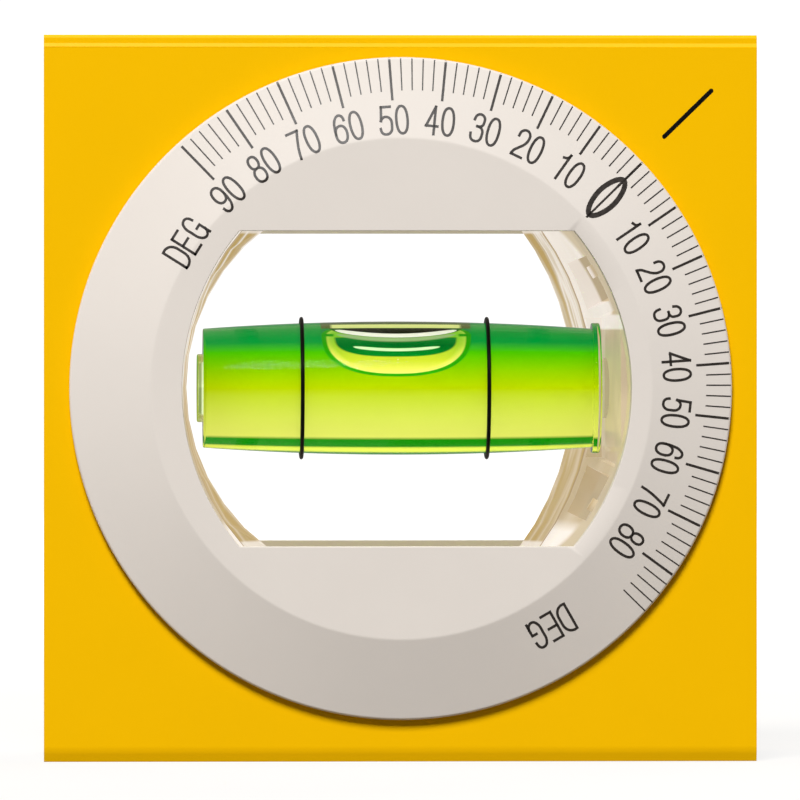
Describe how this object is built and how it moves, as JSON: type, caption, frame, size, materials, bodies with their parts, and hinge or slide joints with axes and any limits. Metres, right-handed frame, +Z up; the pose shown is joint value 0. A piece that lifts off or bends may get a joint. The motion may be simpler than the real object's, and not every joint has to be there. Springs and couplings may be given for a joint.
{
  "type": "magnetic level",
  "caption": "Compact box-section level with magnets in its base and a turning angle dial round a bubble vial.",
  "frame": {"origin": "middle of the measuring base, the milled underside of the box section", "axes": "+X along the level to the right of its front, +Y from the front dial to the rear dial, +Z up from the measuring base"},
  "size_m": [0.0588, 0.0274, 0.06],
  "materials": {
    "yellow_coating": "yellow powder coating, satin, on drawn aluminium",
    "end_plug_plastic": "fine-grained moulded plastic",
    "magnet_cup_steel": "nickel plated",
    "magnet_ferrite": "ground",
    "dial_plastic": "satin off-white moulded plastic",
    "carrier_plastic": "milky moulded plastic",
    "vial_acrylic": "polished clear acrylic",
    "vial_liquid": "clear green liquid",
    "bubble_air": "clear air",
    "mark_ring_black": "matte black",
    "friction_ring_rubber": "matte black",
    "pin_steel": "ground"
  },
  "bodies": {
    "level_body": {"box_profile": "yellow_coating", "left_end_plug": "end_plug_plastic", "right_end_plug": "end_plug_plastic", "left_magnet_cup": "magnet_cup_steel", "right_magnet_cup": "magnet_cup_steel", "left_magnet": "magnet_ferrite", "right_magnet": "magnet_ferrite"},
    "turret": {"front_dial": "dial_plastic", "rear_dial": "dial_plastic", "vial_carrier": "carrier_plastic", "vial_body": "vial_acrylic", "vial_end_plug": "vial_acrylic", "vial_liquid": "vial_liquid", "left_mark_ring": "mark_ring_black", "right_mark_ring": "mark_ring_black", "front_friction_ring": "friction_ring_rubber", "rear_friction_ring": "friction_ring_rubber", "dial_pin_1": "pin_steel", "dial_pin_2": "pin_steel", "dial_pin_3": "pin_steel", "dial_pin_4": "pin_steel"},
    "bubble": {"air_bubble": "bubble_air"}
  },
  "joints": [
    {"name": "dial_rotation", "type": "hinge", "parent": "level_body", "child": "turret", "pos_m": [0, 0, 0.0308], "axis": [0, -1, 0], "continuous": true},
    {"name": "bubble_travel", "type": "slide", "parent": "turret", "child": "bubble", "axis": [1, 0, 0], "range_m": [-0.006, 0.006], "stiffness_N_per_m": 2}
  ]
}
